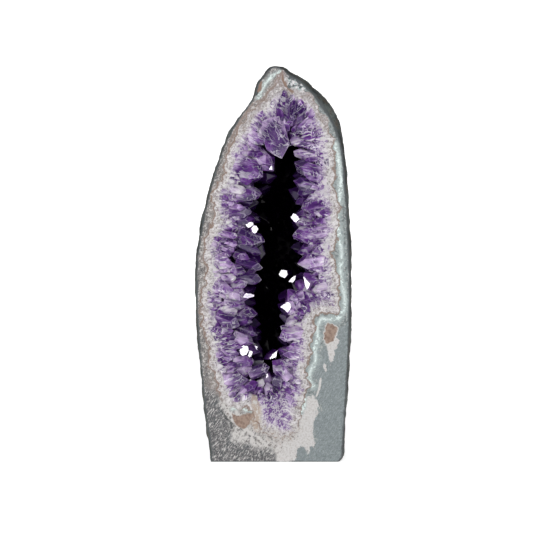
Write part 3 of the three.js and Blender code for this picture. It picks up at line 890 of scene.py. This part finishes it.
def fieldPlaces(rng):
    # from the pale quartz to the black opening, growing larger and deeper on the way
    line = smoothLoop(drawing["agateLine"], 3)
    opening = smoothLoop(field["opening"], 4)
    points = np.array([(rng.uniform(*field["across"]), rng.uniform(*field["up"]))
                       for i in range(field["candidates"])])
    inside = depthInside(points, line)[0]
    outside = -depthInside(points, opening)[0]
    bare = depthInside(points, smoothLoop(drawing["apexQuartz"], 3))[0] > 0
    bare |= depthInside(points, smoothLoop(drawing["stain"], 3))[0] > -2
    bm = bmesh.new()
    for name in nodeNames:
        if name != "rock_shell":
            bm.from_mesh(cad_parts[name].data)
    tree = BVHTree.FromBMesh(bm)
    bm.free()
    for rootX, rootZ, tipX, tipZ, radius, *rest in leading:
        spine = np.array([(rootX, rootZ), (tipX, tipZ)], float)
        bare |= distanceTo(points, spine, closed=False)[0] < field["free"] * radius
    taken = np.zeros((0, 2))
    places = []
    for here, into, away, skip in zip(points, inside, outside, bare):
        if into < field["start"] or away < 1 or skip or here[1] < field["lowest"]:
            continue
        share = into / (into + max(away, 0.0))
        nearest, widest = field["spacing"]
        gap = (nearest + (widest - nearest) * share) * rng.uniform(*field["uneven"])
        if len(taken) and np.min(np.sum((taken - here) ** 2, axis=1)) < gap * gap:
            continue
        depth = float(recessAt(into, here[1])) + field["depth"] * share ** 3
        hit = tree.ray_cast(Vector((here[0] * mm, sawnY - 10 * mm, here[1] * mm)), Vector((0, 1, 0)))[0]
        if hit and (hit.y - sawnY) / mm < depth + field["cover"] and rng.random() > field["onLarge"]:
            continue
        taken = np.vstack([taken, here])
        aim = opening[np.argmin(np.linalg.norm(opening - here, axis=1))]
        inwards = (aim - here) / max(np.linalg.norm(aim - here), 1e-6)
        lean = rng.uniform(*field["lean"]) * (0.35 + 0.65 * share)
        axis = Vector((inwards[0] * math.cos(lean), -math.sin(lean), inwards[1] * math.cos(lean)))
        stray = field["stray"]
        axis = (axis + Vector((rng.uniform(-stray, stray), 0, rng.uniform(-stray, stray)))).normalized()
        radius = gap * rng.uniform(*field["radius"])
        tip = Vector((here[0], sawnY / mm + depth, here[1])) + axis * min(radius, away)
        root = tip - axis * radius * rng.uniform(*field["length"])
        grown = field["palest"] + (into - field["start"]) / field["violetOver"]
        violet = min(1.0, grown) * violetAt(*here)
        places.append((root, tip, radius, violet))
    return places


wallCrystals = {
    "candidates": 18000,  # places tried
    "spacing": 5.2,  # mm between neighbours
    "uneven": (0.7, 1.3),  # how much the spacing varies
    "radius": (0.6, 0.85),  # radius against the spacing
    "length": (1.6, 2.6),  # length against the radius
    "stray": 0.3,  # how far they turn to the side
    "lean": 0.25,  # how far they turn to the mouth
    "sunk": 2.0,  # mm, the root's depth in the wall, and their distance from the cut
}


def wallPlaces(rng):
    # all over the cavity wall, pointing off it and leaning to the mouth
    bm = solidOf("rock_shell")
    bmesh.ops.triangulate(bm, faces=bm.faces)
    faces = [f for f in bm.faces if facesCavity(f.calc_center_median(), f.normal)]
    areas = np.cumsum([f.calc_area() for f in faces])
    taken = []
    places = []
    stray, sunk = wallCrystals["stray"], wallCrystals["sunk"]
    for i in range(wallCrystals["candidates"]):
        face = faces[min(np.searchsorted(areas, rng.random() * areas[-1]), len(faces) - 1)]
        a, b = sorted((rng.random(), rng.random()))
        p0, p1, p2 = (v.co for v in face.verts)
        spot = (p0 * a + p1 * (b - a) + p2 * (1 - b)) / mm
        gap = wallCrystals["spacing"] * rng.uniform(*wallCrystals["uneven"])
        if taken and min((spot - q).length_squared for q in taken) < gap * gap:
            continue
        taken.append(spot)
        behind = spot.y - sawnY / mm
        turned = Vector((rng.uniform(-stray, stray), -wallCrystals["lean"], rng.uniform(-stray, stray)))
        axis = (face.normal + turned).normalized()
        radius = gap * rng.uniform(*wallCrystals["radius"])
        length = radius * rng.uniform(*wallCrystals["length"])
        if behind > sunk + radius:
            places.append((spot - axis * sunk, spot + axis * length, radius, 1.0))
    bm.free()
    return places


bright = {
    "middle": 3,  # mm, x from which they spread to both sides
    "runsBack": (5, 11),  # mm to the side and mm to the back
    "widening": 1.25,  # how much wider they are at the back
    # crystal faces that mirror a soft box: which box, mm behind the cut, outline in mm (x, z)
    "faces": [
        (0, 12, [(18, 227), (21, 226), (24, 222), (20.5, 218), (16, 223)]),
        (0, 8, [(-26, 217), (-21, 219), (-19, 218.5), (-18.3, 216.3), (-23, 213.5)]),
        (0, 9, [(-17.8, 216), (-16, 215.5), (-14, 212.5), (-16.3, 208.5), (-18.7, 209), (-20.3, 213)]),
        (0, 7, [(-4.2, 267), (-1.7, 271), (-1, 266.5)]),
        (0, 24, [(5, 171), (7.4, 175), (12.3, 174.5), (13, 170.5), (10.5, 167.5), (6.8, 169)]),
        (0, 18, [(14, 164), (17, 168), (20.5, 170), (20, 166), (17.8, 163.5)]),
        (0, 3, [(27.5, 169), (33.3, 162), (31, 157), (28.7, 161.5)]),
        (0, 8, [(6, 141), (12.3, 145.5), (15.5, 146), (16, 140.5), (13, 136.3), (9.6, 139)]),
        (2, 8, [(-27.3, 151.3), (-25, 154), (-17.8, 152.3), (-17.3, 151), (-23, 149.3), (-27.8, 149.6)]),
        (0, 7, [(-31, 104), (-27.3, 105.7), (-23.2, 104.8), (-22.8, 101.2), (-25, 97.5), (-29, 96.5),
            (-30.5, 99)]),
        (0, 8, [(-22, 101.5), (-19, 100), (-20.3, 95.7), (-23.6, 95)]),
        (0, 10, [(-17, 105.4), (-14.7, 104.6), (-15.2, 101.7)]),
        (0, 12, [(-3.6, 93), (-1, 97.5), (3.7, 101), (2.3, 94.8)]),
        (0, 6, [(-6, 80), (-4.5, 78.7), (-6.8, 75.5)]),
        (2, 5, [(-40.6, 171.5), (-36, 167), (-38.7, 165.5), (-41.5, 168.5)]),
        (0, 7, [(-32, 147), (-30, 146), (-30.6, 143)]),
    ],
}


def makeBrightFaces(material, rng):
    # each is the end of a crystal that runs back to the wall
    eye = eyePlace()
    aside, back = bright["runsBack"]
    joined = bmesh.new()
    for box, depth, outline in bright["faces"]:
        middle = np.mean(outline, axis=0)
        spot = Vector((middle[0], sawnY / mm + depth, middle[1]))
        lamp = Vector(studio["softBoxes"][box][0])
        mirror = ((eye - spot).normalized() + (lamp - spot).normalized()).normalized()
        outwards = Vector((np.sign(middle[0] - bright["middle"]) * aside, back, 0))
        bm = bmesh.new()
        rings = []
        for scale, move in ((1.0, Vector()), (bright["widening"], outwards)):
            ringVerts = []
            for x, z in outline:
                dx, dz = (x - middle[0]) * scale, (z - middle[1]) * scale
                dy = -(mirror.x * dx + mirror.z * dz) / mirror.y
                ringVerts.append(bm.verts.new((spot + move + Vector((dx, dy, dz))) * mm))
            rings.append(ringVerts)
            bm.faces.new(ringVerts)
        for i in range(len(outline)):
            bm.faces.new((rings[0][i - 1], rings[0][i], rings[1][i], rings[1][i - 1]))
        bmesh.ops.recalc_face_normals(bm, faces=bm.faces)
        markCrystal(bm, lambda f: f.normal.y < 0.9, lambda co: 0.7, rng)
        addCrystal(joined, meshOf(bm, "brightFace"), rng.random(), 1.0)
    addCrystals("brightFaces", joined, material)
    print("brightFaces:", len(bright["faces"]), "crystals")


def makeStudio():
    # white paper bent up behind the geode, three soft boxes, and the camera
    reach = studio["backdrop"]
    bm = bmesh.new()
    bmesh.ops.create_grid(bm, x_segments=1, y_segments=1, size=reach)
    backEdge = [e for e in bm.edges if all(v.co.y > 0 for v in e.verts)]
    raised = bmesh.ops.extrude_edge_only(bm, edges=backEdge)["geom"]
    bmesh.ops.translate(bm, verts=[v for v in raised if isinstance(v, bmesh.types.BMVert)], vec=(0, 0, reach))
    backdrop = bpy.data.objects.new("backdrop", meshOf(bm, "backdrop"))
    bpy.context.collection.objects.link(backdrop)
    material, tree = newMaterial("whitePaper")
    shader = add(tree, "BsdfPrincipled", {"Base Color": (0.9, 0.9, 0.9, 1), "Roughness": 0.9,
                                          "Emission Color": (1, 1, 1, 1), "Emission Strength": 0.75})
    add(tree, "OutputMaterial", {"Surface": shader})
    backdrop.data.materials.append(material)

    world = bpy.data.worlds.new("studio")
    bpy.context.scene.world = world
    world.use_nodes = True
    background = world.node_tree.nodes["Background"]
    background.inputs["Color"].default_value = (1, 1, 1, 1)
    background.inputs["Strength"].default_value = studio["worldStrength"]
    aim = Vector(studio["aim"])
    for i, (place, size, watts) in enumerate(studio["softBoxes"]):
        light = bpy.data.lights.new("softBox" + str(i + 1), "AREA")
        light.size = size * mm
        light.energy = watts
        lamp = bpy.data.objects.new(light.name, light)
        lamp.location = Vector(place) * mm
        lamp.rotation_euler = (aim - Vector(place)).to_track_quat("-Z", "Y").to_euler()
        bpy.context.collection.objects.link(lamp)

    camera = bpy.data.objects.new("camera", bpy.data.cameras.new("camera"))
    camera.data.lens = studio["lens"]
    camera.data.sensor_width = 36
    camera.location = (
        studio["cameraX"] * mm, sawnY - studio["cameraDistance"] * mm, studio["cameraZ"] * mm)
    camera.rotation_euler = (math.radians(90), 0, 0)
    bpy.context.collection.objects.link(camera)
    bpy.context.scene.camera = camera
    bpy.context.scene.view_settings.view_transform = "Standard"
    print("studio:", len(studio["softBoxes"]), "soft boxes")


rng = random.Random(seeds["places"])
makeStone()
nearAmethyst = amethyst("amethystNearTheMouth", veils=0.9, shadeDepths=(16, 34), shine=0.5)
# painted shade: the deep crystals go black from nearer the cut, and have fewer veils and less shine
deepAmethyst = amethyst("amethystDeepInTheCavity", veils=0.2, shadeDepths=(6, 26), shine=0.12)
makeLarge("mouthCrystals", [n for n in nodeNames if n.split("_")[0] in ("roof", "left", "right", "floor")],
          nearAmethyst)
makeLarge("deepCrystals", [n for n in nodeNames if n.startswith("deep_crystal")], deepAmethyst)
makeBrightFaces(nearAmethyst, rng)
druse = crystalSet(seeds["druse"])
leaders = crystalSet(seeds["leading"], crystal["bevel"])
plant("leadingCrystals", leaders, leadingPlaces(), nearAmethyst, rng, sawn=True)
plant("ringDruse", druse, fieldPlaces(rng), nearAmethyst, rng, sawn=True)
plant("wallDruse", druse, wallPlaces(rng), deepAmethyst, rng)
makeStudio()
